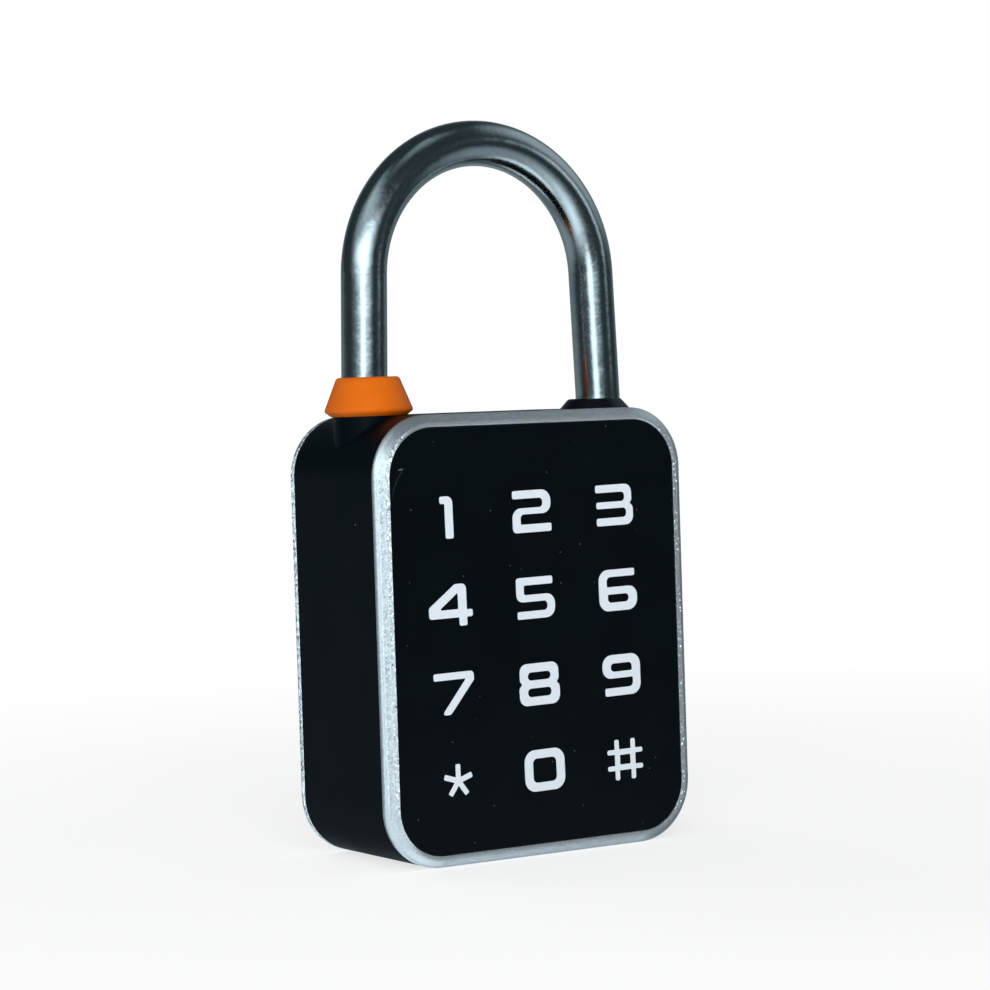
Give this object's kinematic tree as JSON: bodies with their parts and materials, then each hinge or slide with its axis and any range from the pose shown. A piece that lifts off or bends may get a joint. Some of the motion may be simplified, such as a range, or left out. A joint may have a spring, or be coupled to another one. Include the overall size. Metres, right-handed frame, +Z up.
{
  "type": "keypad padlock",
  "caption": "Rounded padlock with a round steel shackle, a black touch keypad set in a silver bezel, soft seals at both legs and a motor-driven latch inside.",
  "frame": {"origin": "middle of the padlock's base, on the surface it stands on", "axes": "+Z up through the shackle, -Y out of the keypad, +X towards the long heel leg (right in the picture)"},
  "size_m": [0.055, 0.0276, 0.1125],
  "materials": {
    "casing_black": "die-cast zinc, matt black coating",
    "bezel_silver": "die-cast, fine sparkling silver coating",
    "panel_glass": "cover glass, printed black behind, polished",
    "panel_plain": "moulded, gloss black",
    "shackle_steel": "hardened steel, bright plated",
    "seal_orange": "moulded silicone, satin",
    "seal_black": "moulded rubber, matt",
    "gasket_grey": "moulded silicone, matt",
    "fastener_steel": "zinc-plated steel",
    "spring_steel": "drawn stainless wire",
    "lock_steel": "machined steel",
    "frame_zinc": "die-cast zinc, as cast",
    "gearbox_plastic": "moulded acetal",
    "cap_plastic": "moulded nylon",
    "board_green": "glass-epoxy laminate, solder mask",
    "chip_black": "moulded epoxy",
    "connector_cream": "moulded nylon",
    "ribbon_white": "polyester film",
    "cell_foil": "laminated pouch foil, satin",
    "foam_black": "cellular foam, adhesive backed"
  },
  "bodies": {
    "housing": {"casing": "casing_black", "front_bezel": "bezel_silver", "rear_bezel": "bezel_silver", "touch_panel": "panel_glass", "rear_panel": "panel_plain", "front_gasket": "gasket_grey", "rear_gasket": "gasket_grey", "front_screws": "fastener_steel", "rear_screws": "fastener_steel", "heel_seal": "seal_black", "bolt_spring": "spring_steel", "shackle_spring": "spring_steel", "retaining_pin": "lock_steel", "gearbox": "gearbox_plastic", "motor_can": "fastener_steel", "motor_cap": "cap_plastic", "lock_frame": "frame_zinc", "frame_cover": "fastener_steel", "frame_screws": "fastener_steel", "cover_screws": "fastener_steel", "touch_board": "board_green", "touch_chip": "chip_black", "main_board": "board_green", "board_screws": "fastener_steel", "control_chip": "chip_black", "buzzer": "chip_black", "ribbon_sockets": "connector_cream", "ribbon_cable": "ribbon_white", "charge_socket": "fastener_steel", "socket_tongue": "chip_black", "battery_cell": "cell_foil", "battery_pad": "foam_black"},
    "shackle_body": {"shackle": "shackle_steel", "toe_seal": "seal_orange"},
    "bolt": {"latch_bolt": "lock_steel"},
    "cam": {"output_shaft": "lock_steel", "drive_cam": "lock_steel"},
    "plug": {"port_plug": "seal_black"}
  },
  "joints": [
    {"name": "shackle_lift", "type": "slide", "parent": "housing", "child": "shackle_body", "axis": [0, 0, 1], "range_m": [0, 0.0123], "deforming": ["shackle_spring"]},
    {"name": "cam_turn", "type": "hinge", "parent": "housing", "child": "cam", "pos_m": [0, 0, 0.057], "axis": [0, 0, 1], "range_deg": [0, 90]},
    {"name": "bolt_slide", "type": "slide", "parent": "housing", "child": "bolt", "axis": [-1, 0, 0], "range_m": [0, 0.0023], "deforming": ["bolt_spring"]},
    {"name": "plug_pull", "type": "slide", "parent": "housing", "child": "plug", "axis": [0, 0, -1], "range_m": [0, 0.006]}
  ],
  "couplings": [
    {"joint": "cam_turn", "follows": "bolt_slide", "rad_per_m": 682.95}
  ]
}
